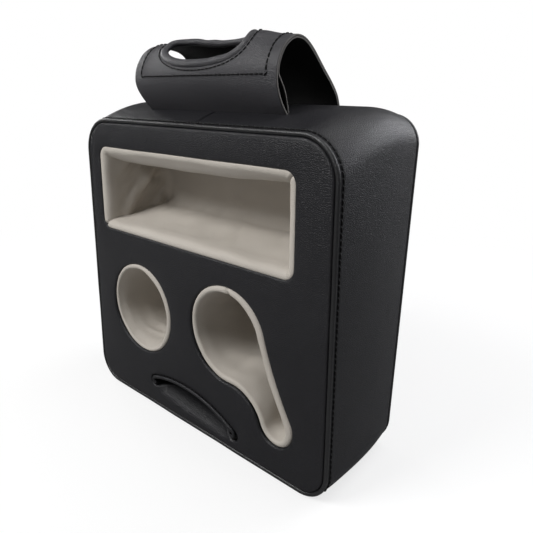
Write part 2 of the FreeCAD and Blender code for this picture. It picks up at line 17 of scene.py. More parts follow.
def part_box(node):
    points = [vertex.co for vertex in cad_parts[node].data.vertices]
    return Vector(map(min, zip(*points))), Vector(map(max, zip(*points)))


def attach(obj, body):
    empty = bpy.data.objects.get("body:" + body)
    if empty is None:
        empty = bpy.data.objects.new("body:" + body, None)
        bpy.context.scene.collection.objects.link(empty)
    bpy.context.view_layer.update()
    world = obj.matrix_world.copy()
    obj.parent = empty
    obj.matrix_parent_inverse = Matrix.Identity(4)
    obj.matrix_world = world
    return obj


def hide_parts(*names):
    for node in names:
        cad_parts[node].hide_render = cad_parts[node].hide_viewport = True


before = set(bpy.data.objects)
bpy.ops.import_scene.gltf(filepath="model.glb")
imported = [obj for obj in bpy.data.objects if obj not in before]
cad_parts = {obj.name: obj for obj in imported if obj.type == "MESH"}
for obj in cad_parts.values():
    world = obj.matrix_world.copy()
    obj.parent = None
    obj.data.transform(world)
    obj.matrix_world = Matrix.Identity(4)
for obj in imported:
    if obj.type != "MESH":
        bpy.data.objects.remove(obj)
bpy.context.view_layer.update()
MM = 0.001
print("frame nodes:", len(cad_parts))

# %% [markdown]
# ## Leather
# The cover is black leather with a fine pebbled grain. A picture of a hide could be wrapped round the
# block, but it would stretch and show seams. Textures in object space need no unwrapping: a cell pattern
# gives the pebbles, a noise bends them and adds wrinkles, and a slow noise changes colour and gloss.

# %% A node with its values
def add_node(tree, kind, inputs=None, **settings):
    """A shader node with its settings and the values of its sockets."""
    node = tree.nodes.new("ShaderNode" + kind)
    for name, value in settings.items():
        setattr(node, name, value)
    for socket, value in (inputs or {}).items():
        node.inputs[socket].default_value = value
    return node


def new_material(name):
    material = bpy.data.materials.new(name)
    material.use_nodes = True
    return material, material.node_tree, material.node_tree.nodes["Principled BSDF"]


print("materials at the start:", len(bpy.data.materials))

# %% Grain
BEND_OF_CELLS, EDGE_OF_CELLS, WRINKLE_SHARE = 0.0006, 0.22, 0.7


def grain_height(tree, place, grain):
    """Height of a pebbled grain: round cells, bent a little by a finer wrinkle."""
    wrinkle = add_node(tree, "TexNoise", {"Scale": grain / 4, "Detail": 6.0})
    cells = add_node(tree, "TexVoronoi", {"Scale": grain}, feature="DISTANCE_TO_EDGE")
    warp = add_node(tree, "MixRGB", {0: BEND_OF_CELLS}, blend_type="ADD")
    soft = add_node(tree, "MapRange", {"From Max": EDGE_OF_CELLS}, interpolation_type="SMOOTHSTEP")
    height = add_node(tree, "Math", {1: WRINKLE_SHARE}, operation="MULTIPLY_ADD")
    tree.links.new(place, wrinkle.inputs["Vector"])
    tree.links.new(place, warp.inputs[1])
    tree.links.new(wrinkle.outputs["Color"], warp.inputs[2])
    tree.links.new(warp.outputs[0], cells.inputs["Vector"])
    tree.links.new(cells.outputs["Distance"], soft.inputs["Value"])
    tree.links.new(wrinkle.outputs["Fac"], height.inputs[0])
    tree.links.new(soft.outputs[0], height.inputs[2])
    return height.outputs[0]


print("share of the wrinkles in the grain:", WRINKLE_SHARE)

# %% Black leather
CLOUDS_PER_METRE, GLOSS_CHANGE = 22.0, 0.06


def leather(name, dark, light, rough, grain, relief, shine):
    """Leather between two tones, with a grain in cells per metre and a relief in metres."""
    material, tree, shader = new_material(name)
    place = add_node(tree, "TexCoord").outputs["Object"]
    cloud = add_node(tree, "TexNoise", {"Scale": CLOUDS_PER_METRE, "Detail": 3.0})
    bump = add_node(tree, "Bump", {"Strength": 0.5, "Distance": relief})
    tone = add_node(tree, "MixRGB", {1: (*dark, 1), 2: (*light, 1)})
    gloss = add_node(tree, "MapRange", {"To Min": rough - GLOSS_CHANGE, "To Max": rough + GLOSS_CHANGE})
    tree.links.new(place, cloud.inputs["Vector"])
    tree.links.new(grain_height(tree, place, grain), bump.inputs["Height"])
    tree.links.new(bump.outputs["Normal"], shader.inputs["Normal"])
    tree.links.new(cloud.outputs["Fac"], tone.inputs[0])
    tree.links.new(tone.outputs[0], shader.inputs["Base Color"])
    tree.links.new(cloud.outputs["Fac"], gloss.inputs["Value"])
    tree.links.new(gloss.outputs[0], shader.inputs["Roughness"])
    shader.inputs["Specular IOR Level"].default_value = shine
    print("leather:", name)
    return material


BLACK = leather("black_hide", (0.0072, 0.0070, 0.0089), (0.0120, 0.0118, 0.0142), 0.42, 720, 0.0003, 0.37)

# %% [markdown]
# ## The band
# One strip of leather goes round the block, and its ends are sewn together on the top. It is stretched over
# the foam, so it swells between its two seams and dips where the piping pulls it in. A cloth simulation
# could find that swell, but the sections are known from the frame. So the band is a loft: rows of points
# from the front seam to the rear seam, through the outlines at the front, the crest and the rear.

# %% Make a piece and tell the frame about it
def make_piece(name, points, faces, material, replaced=()):
    mesh = bpy.data.meshes.new(name)
    mesh.from_pydata([tuple(map(float, p)) for p in points], [], [tuple(map(int, f)) for f in faces])
    net = bmesh.new()
    net.from_mesh(mesh)
    bmesh.ops.remove_doubles(net, verts=net.verts, dist=1e-6)
    bmesh.ops.recalc_face_normals(net, faces=net.faces)
    net.to_mesh(mesh)
    net.free()
    mesh.shade_smooth()
    mesh.materials.append(material)
    piece = bpy.data.objects.new(name, mesh)
    bpy.context.scene.collection.objects.link(piece)
    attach(piece, "root")
    if replaced:
        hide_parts(*replaced)
    print(name, "faces:", len(mesh.polygons))
    return piece


def grid_faces(rows, columns):
    """Quads between rows of points; every row is a closed ring."""
    faces = []
    for i in range(rows - 1):
        for j in range(columns):
            k = (j + 1) % columns
            faces.append((i * columns + j, i * columns + k, (i + 1) * columns + k, (i + 1) * columns + j))
    return faces


# %% Outlines in the plane of the front
def line_points(start, end, count):
    t = np.arange(count)[:, None] / count
    return np.asarray(start) + (np.asarray(end) - np.asarray(start)) * t


def arc_points(centre, radius, start, end, count):
    a = np.radians(start + (end - start) * np.arange(count) / count)
    return np.asarray(centre) + radius * np.stack([np.cos(a), np.sin(a)], 1)


def rounded_loop(left, right, low, high, r_low, r_high, across, upright, corner):
    """A rectangle with round corners, from the lower left corner round to the right."""
    return np.concatenate([
        line_points((left + r_low, low), (right - r_low, low), across),
        arc_points((right - r_low, low + r_low), r_low, -90, 0, corner),
        line_points((right, low + r_low), (right, high - r_high), upright),
        arc_points((right - r_high, high - r_high), r_high, 0, 90, corner),
        line_points((right - r_high, high), (left + r_high, high), across),
        arc_points((left + r_high, high - r_high), r_high, 90, 180, corner),
        line_points((left, high - r_high), (left, low + r_low), upright),
        arc_points((left + r_low, low + r_low), r_low, 180, 270, corner),
    ])


def outward(loop):
    """Unit normals of a closed loop that runs anticlockwise."""
    run = np.roll(loop, -1, 0) - np.roll(loop, 1, 0)
    normal = np.stack([run[:, 1], -run[:, 0]], 1)
    return normal / np.maximum(np.linalg.norm(normal, axis=1, keepdims=True), 1e-12)


def ripple(points, size, amount, seed):
    """Slow unevenness of hand-stretched leather."""
    return np.array([amount * noise.noise(Vector(p) / size + Vector((seed, 0, 0))) for p in points])


print("points of a plain outline:", len(rounded_loop(-1, 1, 0, 1, 0.2, 0.2, 8, 4, 6)))

# %% Measure the frame
bead_low, bead_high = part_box("front_piping")
rear_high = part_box("rear_piping")[1]
band_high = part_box("side_band")[1]
FACE_Y, HALF, FRONT_TOP = bead_low.y, bead_high.x, bead_high.z
BULGE, CREST, REAR_TOP = band_high.x, band_high.z, rear_high.z
BEAD = 3.8 * MM
PROUD = 0.3 * MM
TOP_R, CREST_R, REAR_R, LOW_R = 33 * MM, 29 * MM, 25 * MM, 27 * MM
BACK_FOOT = 49 * MM
LEAN = math.atan(19 / 283)
print("front", HALF, FRONT_TOP, "crest", BULGE, CREST, "rear top", REAR_TOP)


def back_y(z, inward=0.0):
    """The leaning plane of the back, or a plane parallel to it further in."""
    return BACK_FOOT + z * math.tan(LEAN) - inward / math.cos(LEAN)


# %% Rows of the band
ACROSS, UPRIGHT, CORNER = 300, 110, 26
BAND_Y = FACE_Y + BEAD
CREST_Y = FACE_Y + 66 * MM
STITCH_RUN = 1.2 * MM
PULL, STITCH_PULL, JOINT_PULL = 1.5 * MM, 0.35 * MM, 2.6 * MM
JOINT_X, JOINT_HALF = 7 * MM, 1.0 * MM


def band_loop(half, high, corner):
    return rounded_loop(-half, half, 0, high, LOW_R, corner, ACROSS, UPRIGHT, CORNER)


front_loop = band_loop(HALF, FRONT_TOP, TOP_R)
to_crest = band_loop(BULGE, CREST, CREST_R) - front_loop
to_rear = band_loop(HALF, REAR_TOP, REAR_R) - front_loop


def band_y(v, z):
    """Depth of a row: a part of the way from the front seam to the leaning rear seam."""
    return BAND_Y + v * (back_y(z, BEAD) - BAND_Y)


def band_row(v, run_front, run_rear):
    """One row through the front, crest and rear outlines, with the dips of its seams."""
    v = min(max(v, 0), 1)
    crest = (CREST_Y - BAND_Y) / (back_y(front_loop[:, 1], BEAD) - BAND_Y)
    at_crest = v * (v - 1) / (crest * (crest - 1))
    at_rear = v * (v - crest) / (1 - crest)
    loop = front_loop + to_crest * at_crest[:, None] + to_rear * at_rear[:, None]
    normal = outward(loop)
    dip = np.zeros(len(loop))
    for run in (run_front, run_rear):
        dip += PULL * math.exp(-max(run + 1.2 * MM, 0) / (1.1 * MM))
        dip += STITCH_PULL * math.exp(-((run - STITCH_RUN) / (0.7 * MM)) ** 2)
    on_top = loop[:, 1] > loop[:, 1].max() - 20 * MM
    dip += np.where(on_top, JOINT_PULL * np.exp(-((loop[:, 0] - JOINT_X) / JOINT_HALF) ** 2), 0)
    below = loop[:, 1] < 1 * MM
    dip = np.where(below, dip * 0.3, dip)
    return loop - normal * dip[:, None], normal


print("points in a row of the band:", len(front_loop))

# %% Band
DEPTH = 100 * MM
SWELL, WAVE = 0.4 * MM, 0.5 * MM
edge_run = np.array([-1.6, -0.8, 0, 0.6, 1.2, 1.8, 2.4, 3.0, 3.8, 5, 7, 10]) * MM
FAR = 1.0
steps = [(r / DEPTH, r, FAR) for r in edge_run]
steps += [(v, v * DEPTH, (1 - v) * DEPTH) for v in np.linspace(0.13, 0.87, 26)]
steps += [(1 - r / DEPTH, FAR, r) for r in edge_run[::-1]]
rows = []
for v, run_front, run_rear in steps:
    flat, normal = band_row(v, run_front, run_rear)
    row = np.stack([flat[:, 0], band_y(v, flat[:, 1]), flat[:, 1]], 1)
    swell = (SWELL + ripple(row, 0.05, WAVE, 3.0)) * math.sin(math.pi * min(max(v, 0), 1))
    off_floor = row[:, 2] > 4 * MM
    row[:, [0, 2]] += normal * (swell * off_floor)[:, None]
    rows.append(row)
band_rows = np.stack(rows)
band = make_piece("band_cover", band_rows.reshape(-1, 3), grid_faces(len(rows), band_rows.shape[1]),
                  BLACK, ("side_band",))

# %% [markdown]
# ## Piping and its stitches
# A cord in a strip of the same leather is sewn into both edges of the band. A curve with a round bevel
# would draw it, but a tube of our own can lean with the back and be a little uneven. The front seam is sewn
# down once more, so short stitches follow it: each is a small thread that dives into the hide at its ends,
# because a printed line would lie flat under a raking light.

# %% Tubes along a path
def even_path(path, step, closed=False):
    """Points at even steps along a path of any dimension."""
    path = np.asarray(path, float)
    if closed:
        path = np.vstack([path, path[:1]])
    run = np.concatenate([[0], np.cumsum(np.linalg.norm(np.diff(path, axis=0), axis=1))])
    count = max(2, int(round(run[-1] / step)))
    at = np.linspace(0, run[-1], count + 1)
    if closed:
        at = at[:-1]
    return np.stack([np.interp(at, run, path[:, k]) for k in range(path.shape[1])], 1)


def path_direction(path, closed):
    run = np.roll(path, -1, 0) - np.roll(path, 1, 0)
    if not closed:
        run[0], run[-1] = path[1] - path[0], path[-1] - path[-2]
    return run / np.linalg.norm(run, axis=1, keepdims=True)


def tube(path, sides, closed, width, thick, across):
    """A tube of oval section along a path; "across" is the direction of its width at each point."""
    path = np.asarray(path)
    run = path_direction(path, closed)
    wide = across - run * (across * run).sum(1, keepdims=True)
    wide /= np.linalg.norm(wide, axis=1, keepdims=True)
    up = np.cross(run, wide)
    rows = []
    for a in np.arange(sides) * 2 * math.pi / sides:
        rows.append(path + wide * math.cos(a) * width / 2 + up * math.sin(a) * thick / 2)
    points = np.stack(rows, 1).reshape(-1, 3)
    last = (len(path) - 1) * sides
    faces = grid_faces(len(path), sides)
    if closed:
        faces += [(last + j, last + (j + 1) % sides, (j + 1) % sides, j) for j in range(sides)]
    else:
        faces += [tuple(range(sides)), tuple(last + j for j in range(sides))]
    return points, faces


print("faces of a short tube:", len(tube([(0, 0, 0), (1, 0, 0)], 6, False, 1, 1, np.eye(3)[[1, 1]])[1]))

# %% Front and rear piping
PIPING = leather("piping_hide", (0.008, 0.008, 0.009), (0.013, 0.013, 0.014), 0.32, 1200, 0.00012, 0.5)
SIDES = 14


def bead_path(half, high, corner, y_of):
    """The middle line of a piping and its outward directions."""
    inset = BEAD / 2
    loop = rounded_loop(-half + inset, half - inset, inset, high - inset, LOW_R - inset, corner - inset,
                        ACROSS, UPRIGHT, CORNER)
    normal = outward(loop)
    path = np.stack([loop[:, 0], [y_of(z) for z in loop[:, 1]], loop[:, 1]], 1)
    return path, np.stack([normal[:, 0], np.zeros(len(loop)), normal[:, 1]], 1)


path, out = bead_path(HALF, FRONT_TOP, TOP_R, lambda z: FACE_Y + BEAD / 2)
points, faces = tube(path, SIDES, True, BEAD, BEAD, out)
points[:, [0, 2]] += out.repeat(SIDES, 0)[:, [0, 2]] * ripple(points, 0.03, 0.25 * MM, 9)[:, None]
front_bead = make_piece("front_bead", points, faces, PIPING, ("front_piping",))
path, out = bead_path(HALF + PROUD, REAR_TOP + PROUD, REAR_R, lambda z: back_y(z, BEAD / 2))
path[:, 2] = np.maximum(path[:, 2], BEAD / 2)
points, faces = tube(path, SIDES, True, BEAD, BEAD, out)
rear_bead = make_piece("rear_bead", points, faces, PIPING, ("rear_piping",))

# %% Stitches
THREAD = leather("black_thread", (0.004, 0.004, 0.004), (0.007, 0.007, 0.007), 0.6, 2600, 0.0001, 0.2)
RINGS, THREAD_SIDES = 6, 6
SINK = 0.1 * MM


def join(parts):
    """Several (points, faces) as one."""
    points, faces, first = [], [], 0
    for bit, bit_faces in parts:
        points.append(bit)
        faces += [tuple(first + k for k in face) for face in bit_faces]
        first += len(bit)
    return np.concatenate(points), faces


def stitch_row(path, normals, pitch, length, thick, closed=False):
    """Short threads along a line: each rises in its middle and dives into the leather at its ends."""
    no_weight = 1e-6
    both = even_path(np.hstack([path, normals * no_weight]), pitch, closed)
    spots, ups = both[:, :3], both[:, 3:]
    ups /= np.linalg.norm(ups, axis=1, keepdims=True)
    t = np.linspace(-1, 1, RINGS)
    threads = []
    for spot, run, up in zip(spots, path_direction(spots, closed), ups):
        line = spot + np.outer(t, run) * length / 2 + np.outer((1 - t ** 4) * thick * 0.5 - SINK, up)
        across = np.tile(np.cross(run, up), (RINGS, 1))
        threads.append(tube(line, THREAD_SIDES, False, thick, thick, across))
    return join(threads)


# %% Stitches along the front seam
seam = band_rows[int(np.argmin(np.abs(edge_run - STITCH_RUN)))]
normal = outward(seam[:, [0, 2]])
normal = np.stack([normal[:, 0], np.zeros(len(normal)), normal[:, 1]], 1)
shown = seam[:, 2] > 12 * MM
first_shown = -int(np.argmax(shown))
points, faces = stitch_row(np.roll(seam, first_shown, 0)[:shown.sum()],
                           np.roll(normal, first_shown, 0)[:shown.sum()], 4.6 * MM, 3.3 * MM, 1.3 * MM)
make_piece("band_stitches", points, faces, THREAD)

# %% [markdown]
# ## The back
# The back is one plain panel between the rear piping. A subdivided plane would do, but its outline has
# round corners. So the panel is cut as a pattern cutter would cut it: points inside an outline, joined by
# triangles. The hide is drawn flat over the foam and dips towards its seam. The same cutter serves for
# the front, where the outline also has openings.

# %% Inside and near an outline
def distance_to(points, loop):
    """Distance of each point to the nearest part of a closed loop."""
    best = np.full(len(points), 1e9)
    for a, b in zip(loop, np.roll(loop, -1, 0)):
        ab = b - a
        t = np.clip(((points - a) @ ab) / max(ab @ ab, 1e-18), 0, 1)
        best = np.minimum(best, np.linalg.norm(points - a - t[:, None] * ab, axis=1))
    return best


def inside(points, loop):
    """True for points within a closed loop."""
    x, y = points[:, 0], points[:, 1]
    within = np.zeros(len(points), bool)
    for (ax, ay), (bx, by) in zip(loop, np.roll(loop, -1, 0)):
        crosses = (ay > y) != (by > y)
        at = ax + (y - ay) * (bx - ax) / (by - ay if by != ay else 1e-18)
        within ^= crosses & (x < at)
    return within


middle_of_front = np.array([[0, FRONT_TOP / 2]])
print("middle of the front: inside", inside(middle_of_front, front_loop)[0],
      "and from its edge", round(distance_to(middle_of_front, front_loop)[0], 4))

# %% A panel with openings
def panel_net(outer, holes, spacing, rings):
    """Triangles between an outline and its holes, with close rows of points along every edge."""
    loops = [outer] + list(holes)
    edges, first = [], 0
    for loop in loops:
        edges += [(first + i, first + (i + 1) % len(loop)) for i in range(len(loop))]
        first += len(loop)
    extra = [outer - outward(outer) * ring for ring in rings]
    extra += [hole + outward(hole) * ring for hole in holes for ring in rings]
    low, high = outer.min(0), outer.max(0)
    free = np.array([(x + (spacing / 2 if row % 2 else 0), z)
                     for row, z in enumerate(np.arange(low[1], high[1], spacing * 0.87))
                     for x in np.arange(low[0], high[0], spacing)])
    keep = inside(free, outer)
    for loop in loops:
        keep &= distance_to(free, loop) > rings[-1] + spacing * 0.6
    for hole in holes:
        keep &= ~inside(free, hole)
    points = np.concatenate(loops + extra + [free[keep]])
    made = delaunay_2d_cdt([Vector(p) for p in points], edges, [], 0, 1e-7)
    places, faces = np.array([tuple(p) for p in made[0]]), np.array(made[2])
    middle = places[faces].mean(1)
    good = inside(middle, outer)
    for hole in holes:
        good &= ~inside(middle, hole)
    return places, faces[good]


coarse = even_path(front_loop, 20 * MM, True)
print("triangles of a coarse panel:", len(panel_net(coarse, [], 30 * MM, [4 * MM])[1]))

# %% Back panel
def panel_outline(top, top_corner, across, upright, corner):
    """The outline of a panel between its piping."""
    return rounded_loop(-HALF + BEAD, HALF - BEAD, BEAD, top - BEAD, LOW_R - BEAD, top_corner - BEAD,
                        across, upright, corner)


outer = panel_outline(REAR_TOP, REAR_R, 60, 50, 12)
flat, faces = panel_net(outer, [], 8 * MM, [1 * MM, 2.2 * MM])
edge = distance_to(flat, outer)
tuck = 1.6 * MM * np.exp(-edge / (1.0 * MM)) + 0.9 * MM * np.exp(-edge / (18 * MM))
points = np.stack([flat[:, 0], np.array([back_y(z) for z in flat[:, 1]]) - tuck, flat[:, 1]], 1)
back = make_piece("back_cover", points, faces, BLACK, ("back_panel",))

# %% [markdown]
# ## Pocket outlines
# The tray is a rounded rectangle and the cup a circle. The mug's opening is a keyhole of four arcs: a bowl
# for the mug, a lobe for its handle, a hollow neck on one side and a long flank on the other. The slit is
# a slot along an arc. They could be drawn as curves by hand; as functions they can also be drawn smaller
# by an inset, which the linings need.

# %% Tray and cup
tray_low, tray_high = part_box("tray_wall")
cup_low, cup_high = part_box("cup_wall")
TRAY_R = 10 * MM
TRAY_MID = (tray_low.z + tray_high.z) / 2
TRAY_HALF = (tray_high.z - tray_low.z) / 2
CUP_R = (cup_high.x - cup_low.x) / 2
CUP_MIDDLE = np.array([(cup_low.x + cup_high.x) / 2, (cup_low.z + cup_high.z) / 2])
print("cup radius:", CUP_R)


def tray_loop(inset):
    r = min(max(TRAY_R - inset, 1.5 * MM), TRAY_HALF - inset)
    return rounded_loop(tray_low.x + inset, tray_high.x - inset, tray_low.z + inset, tray_high.z - inset,
                        r, r, 110, 44, 12)


def cup_loop(inset):
    return arc_points(CUP_MIDDLE, CUP_R - inset, -90, 270, 150)


# %% Keyhole of the mug
mug_low, mug_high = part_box("mug_wall")
BOWL_R, LOBE_R, HOLLOW_R, FLANK_R = 44 * MM, 18 * MM, 35 * MM, 300 * MM
BOWL = np.array([mug_low.x + BOWL_R, mug_high.z - BOWL_R])
LOBE = np.array([mug_high.x - LOBE_R, mug_low.z + LOBE_R])


def neck_centre(bowl_reach, lobe_reach, side):
    """Centre of an arc that touches the bowl and the lobe on one side of the keyhole."""
    along = LOBE - BOWL
    span = np.linalg.norm(along)
    run = (bowl_reach ** 2 + span ** 2 - lobe_reach ** 2) / (2 * span)
    off = math.sqrt(bowl_reach ** 2 - run ** 2)
    unit = along / span
    return BOWL + unit * run + np.array([unit[1], -unit[0]]) * off * side


def bearing(centre, point):
    return math.degrees(math.atan2(point[1] - centre[1], point[0] - centre[0])) % 360


def mug_loop(inset):
    bowl, lobe, hollow, flank = BOWL_R - inset, LOBE_R - inset, HOLLOW_R + inset, FLANK_R + inset
    at_hollow = neck_centre(bowl + hollow, lobe + hollow, 1)
    at_flank = neck_centre(bowl + flank, lobe + flank, -1)
    return np.concatenate([
        arc_points(BOWL, bowl, bearing(BOWL, at_flank), bearing(BOWL, at_hollow), 110),
        arc_points(at_hollow, hollow, bearing(at_hollow, BOWL), bearing(at_hollow, LOBE), 24),
        arc_points(LOBE, lobe, bearing(LOBE, at_hollow), bearing(LOBE, at_flank) + 360, 60),
        arc_points(at_flank, flank, bearing(at_flank, LOBE), bearing(at_flank, BOWL), 34),
    ])


print("keyhole points:", len(mug_loop(0)))

# %% Slot of the slit
SLIT_CENTRE = np.array([-13.5, -94]) * MM
SLIT_TILT = -5.6
SLIT_HALF = 54 * MM
SLIT_UPPER, SLIT_CLEAR, SLIT_LOWER = 135 * MM, 131.4 * MM, 123.4 * MM


def slit_ends(radius):
    """Bearings of the right and left ends of an arc of the slit, in degrees."""
    half = math.degrees(math.asin(SLIT_HALF / radius))
    return 90 - half + SLIT_TILT, 90 + half + SLIT_TILT


def slit_arc(radius, count):
    """Points on an arc of the slit, left to right."""
    right, left = slit_ends(radius)
    return arc_points(SLIT_CENTRE, radius, left, right, count)


def slit_loop(upper, lower):
    """A slot along an arc with round ends, anticlockwise."""
    middle, end = (upper + lower) / 2, (upper - lower) / 2
    right, left = slit_ends(middle)
    spots = [SLIT_CENTRE + middle * np.array([math.cos(math.radians(a)), math.sin(math.radians(a))])
             for a in (left, right)]
    return np.concatenate([
        arc_points(SLIT_CENTRE, upper, right, left, 64),
        arc_points(spots[0], end, left, left + 180, 12),
        arc_points(SLIT_CENTRE, lower, left, right, 64),
        arc_points(spots[1], end, right + 180, right + 360, 12),
    ])


print("slit points:", len(slit_loop(SLIT_UPPER, SLIT_LOWER)))

# %% [markdown]
# ## The front panel
# A single hide, cut out for the pockets. Its edges are turned in at every opening, and it is a little plump
# between them because the foam presses from behind. Below the slit the hide sinks in, so that fingers find
# the opening. Sculpting could press that hollow, but a function of the distance to the slit's arc keeps it
# exact. Painted shade makes the hide in that hollow darker and less glossy, as if the lip shaded it, and a
# value on the mesh tells the leather where.

# %% The hollow below the slit
def ease_in(value, start, end):
    """A smooth step from 0 to 1."""
    t = np.clip((value - start) / (end - start), 0, 1)
    return t * t * (3 - 2 * t)


PUSH = 11 * MM


def slit_push(flat):
    """How far the hide below the slit is pressed in: a crescent between the arc and its chord."""
    away = flat - SLIT_CENTRE
    radius = np.linalg.norm(away, axis=1)
    turn = np.arctan2(away[:, 0], away[:, 1]) + math.radians(SLIT_TILT)
    half = math.asin(SLIT_HALF / SLIT_LOWER)
    height = SLIT_LOWER * np.clip(np.cos(turn) - math.cos(half), 0, None) + 3 * MM
    part = np.clip((SLIT_LOWER - radius) / height, 0, 1)
    fade = ease_in(half - np.abs(turn), 0, 0.12) * (radius < SLIT_LOWER + 1.2 * MM)
    return PUSH * (1 - part ** 2) * fade * (height / height.max())


print("deepest push:", round(slit_push(slit_loop(SLIT_UPPER, SLIT_LOWER)).max(), 4))

# %% Depth of the front panel
outer = panel_outline(FRONT_TOP, TOP_R, 100, 90, 16)
holes = [tray_loop(0), cup_loop(0), mug_loop(0), slit_loop(SLIT_UPPER, SLIT_LOWER)]
holes = [even_path(loop, 2.2 * MM, True) for loop in holes]
SEAM_TURN, MOUTH_TURN = 2.0 * MM, 1.7 * MM
PLUMP, EASE = 0.8 * MM, 0.35 * MM


def turned(edge, radius):
    """Depth of a turned edge: a quarter circle."""
    gap = np.clip(radius - edge, 0, radius)
    return radius - np.sqrt(radius ** 2 - gap ** 2)


def panel_y(flat):
    edges = [distance_to(flat, loop) for loop in [outer] + holes]
    plump = PLUMP * (1 - np.exp(-np.min(edges, axis=0) / (9 * MM)))
    depth = turned(edges[0], SEAM_TURN)
    for edge in edges[1:]:
        depth = np.maximum(depth, turned(edge, MOUTH_TURN))
    ease = ripple(np.stack([flat[:, 0], flat[:, 0] * 0, flat[:, 1]], 1), 0.045, EASE, 5)
    return FACE_Y + depth - plump + ease + slit_push(flat)


print("openings:", len(holes), "with edge points:", [len(hole) for hole in holes])

# %% Painted shade in the hollow below the slit
tree = BLACK.node_tree
shader = tree.nodes["Principled BSDF"]
# Painted shade: where this value is 1, the hide is drawn darker and less glossy, standing in for the lip's
# shadow.
SHADED_SHINE = 0.03
painted_slit_shade = add_node(tree, "Attribute", attribute_name="painted_slit_shade").outputs["Fac"]
unshaded_shine = shader.inputs["Specular IOR Level"].default_value
shine = add_node(tree, "MapRange", {"To Min": unshaded_shine, "To Max": SHADED_SHINE})
darken = add_node(tree, "MixRGB", {2: (0.0015, 0.0015, 0.002, 1)})
tree.links.new(painted_slit_shade, shine.inputs["Value"])
tree.links.new(shine.outputs[0], shader.inputs["Specular IOR Level"])
tree.links.new(painted_slit_shade, darken.inputs[0])
tree.links.new(shader.inputs["Base Color"].links[0].from_socket, darken.inputs[1])
tree.links.new(darken.outputs[0], shader.inputs["Base Color"])
# The second value is the shine in the painted shade below the slit.
print("black hide, shine outside and inside:", unshaded_shine, SHADED_SHINE)

# %% Front panel
flat, faces = panel_net(outer, holes, 2.8 * MM, [0.35 * MM, 0.8 * MM, 1.3 * MM, 2.2 * MM])
points = np.stack([flat[:, 0], panel_y(flat), flat[:, 1]], 1)
front = make_piece("front_cover", points, faces, BLACK, ("front_panel",))
# Painted shade: how much of the lip's shadow is painted on each point of the front hide.
painted_shade_share = slit_push(np.array([(v.co.x, v.co.z) for v in front.data.vertices])) / PUSH
front.data.attributes.new("painted_slit_shade", "FLOAT", "POINT").data.foreach_set("value", painted_shade_share)

# %% [markdown]
# ## Lined pockets
# Each lining is a bag of beige leather. Its mouth is rolled over a soft welt and sewn behind the front
# panel, its walls go straight back, and it is rounded into its floor. A cloth simulation could fill the
# pocket with a bag, but its folds would fall anywhere. So every lining is a stack of rings, each an outline
# drawn smaller and deeper, and functions move the points into slack, folds and pinches where the photo
# has them.

# %% Rings of a lining
BEIGE = leather("beige_hide", (0.48, 0.44, 0.39), (0.57, 0.53, 0.475), 0.55, 900, 0.00028, 0.3)
PINCH = 7 * MM


def floor_rings(roll, depth, round_floor):
    """Inset and depth of the rings that round a wall into its floor."""
    turn = np.radians(np.linspace(10, 90, 9))
    return [(roll + round_floor * (1 - math.cos(a)), depth - round_floor + round_floor * math.sin(a))
            for a in turn]


def pocket_rings(depth, round_floor, bead):
    """Inset and depth of each ring: the hem behind the panel, the bead of the mouth, wall and floor."""
    rings = [(bead + bead * math.sin(a), bead * (1 - math.cos(a)) - 0.2 * MM)
             for a in np.radians(np.linspace(-75, 84, 14))]
    inset, start = rings[-1]
    rings += [(inset + (PINCH - inset) * (1 - (1 - part) ** 2), start + part * 14 * MM)
              for part in np.linspace(0.12, 1, 8)]
    rings += [(PINCH, d) for d in np.linspace(rings[-1][1] + 2 * MM, depth - round_floor, 28)]
    return rings + floor_rings(PINCH, depth, round_floor)


def lining(loop_of, rings, shape, last_inset=None):
    """Points and faces of a lining; "shape" moves a ring, and more rings may run in to a last inset."""
    inset, depth = rings[-1]
    if last_inset:
        rings = rings + [(inset + (last_inset - inset) * part, depth) for part in np.linspace(0.2, 1, 5)]
    made = []
    for inset, depth in rings:
        loop = loop_of(inset)
        ring = np.stack([loop[:, 0], np.full(len(loop), FACE_Y + depth), loop[:, 1]], 1)
        made.append(shape(ring, inset, depth))
    return np.concatenate(made), grid_faces(len(made), len(made[0]))


def floor_face(points, ring):
    """One face that closes the last ring."""
    return tuple(range(len(points) - ring, len(points)))


# %% Rings of the tray
TRAY_DEPTH, TRAY_ROLL = 76 * MM, 8 * MM


def tray_rings():
    """The rings of the tray, whose mouth is one broad roll."""
    rings = [(-1.2 * MM, 3.4 * MM), (-0.9 * MM, 2.2 * MM)]
    for a in np.radians(np.linspace(0, 90, 11)):
        bulge = 1.0 * MM * math.sin(2 * a)
        rings.append((TRAY_ROLL * math.sin(a) - bulge * 0.3,
                      TRAY_ROLL * (1 - math.cos(a)) + 0.9 * MM - bulge))
    round_floor = 13 * MM
    wall = np.linspace(TRAY_ROLL + 2.5 * MM, TRAY_DEPTH - round_floor, 22)
    rings += [(TRAY_ROLL + 0.3 * MM, d) for d in wall]
    return rings + floor_rings(TRAY_ROLL, TRAY_DEPTH, round_floor)


print("rings of the tray:", len(tray_rings()))

# %% Slack of the tray
CLIMB, DROOP = 9 * MM, 7.5 * MM
FOLD, TUCK, WRINKLE = 4.8 * MM, 4.5 * MM, 3.0 * MM


